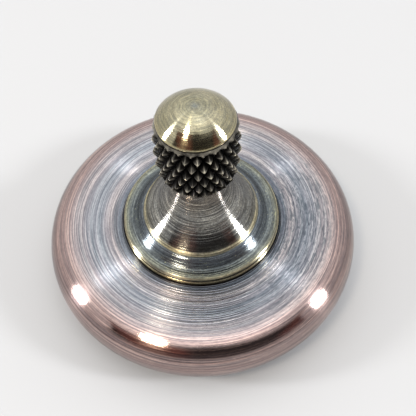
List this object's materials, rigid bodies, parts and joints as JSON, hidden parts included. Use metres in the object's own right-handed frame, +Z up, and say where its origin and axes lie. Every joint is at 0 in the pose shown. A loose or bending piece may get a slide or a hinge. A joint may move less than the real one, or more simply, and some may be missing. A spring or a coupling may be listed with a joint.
{
  "type": "spinning top",
  "caption": "Finger-spun metal top: round-edged flywheel disc, stepped flange, flared stem, knurled grip with domed cap, and a ball tip.",
  "frame": {"origin": "the point where the ball tip touches the table, on the spin axis", "axes": "+Z up along the spin axis, from the tip to the finger cap; the part is round, so X and Y are free"},
  "size_m": [0.04, 0.04, 0.0297],
  "materials": {
    "antique_copper": "turned with fine circular brushing, antiqued copper plate, lacquered",
    "antique_brass": "turned with fine circular brushing, antiqued",
    "blackened_brass": "blackened in the grooves, rubbed bright on the points",
    "zinc_steel": "bright zinc",
    "hard_steel": "polished",
    "black_fibre": "matt pressed fibre"
  },
  "bodies": {
    "tip": {"tip_ball": "hard_steel"},
    "top": {"flywheel_disc": "antique_copper", "seat_ring": "antique_brass", "stepped_flange": "antique_brass", "flared_stem": "antique_brass", "knurled_grip": "blackened_brass", "finger_cap": "antique_brass", "tip_holder": "antique_brass", "centre_stud": "zinc_steel", "flat_washer": "zinc_steel", "spring_washer": "zinc_steel", "fibre_washer": "black_fibre", "thrust_pad": "hard_steel"}
  },
  "joints": [
    {"name": "spin", "type": "hinge", "parent": "tip", "child": "top", "pos_m": [0, 0, 0.00125], "axis": [0, 0, 1], "continuous": true}
  ]
}
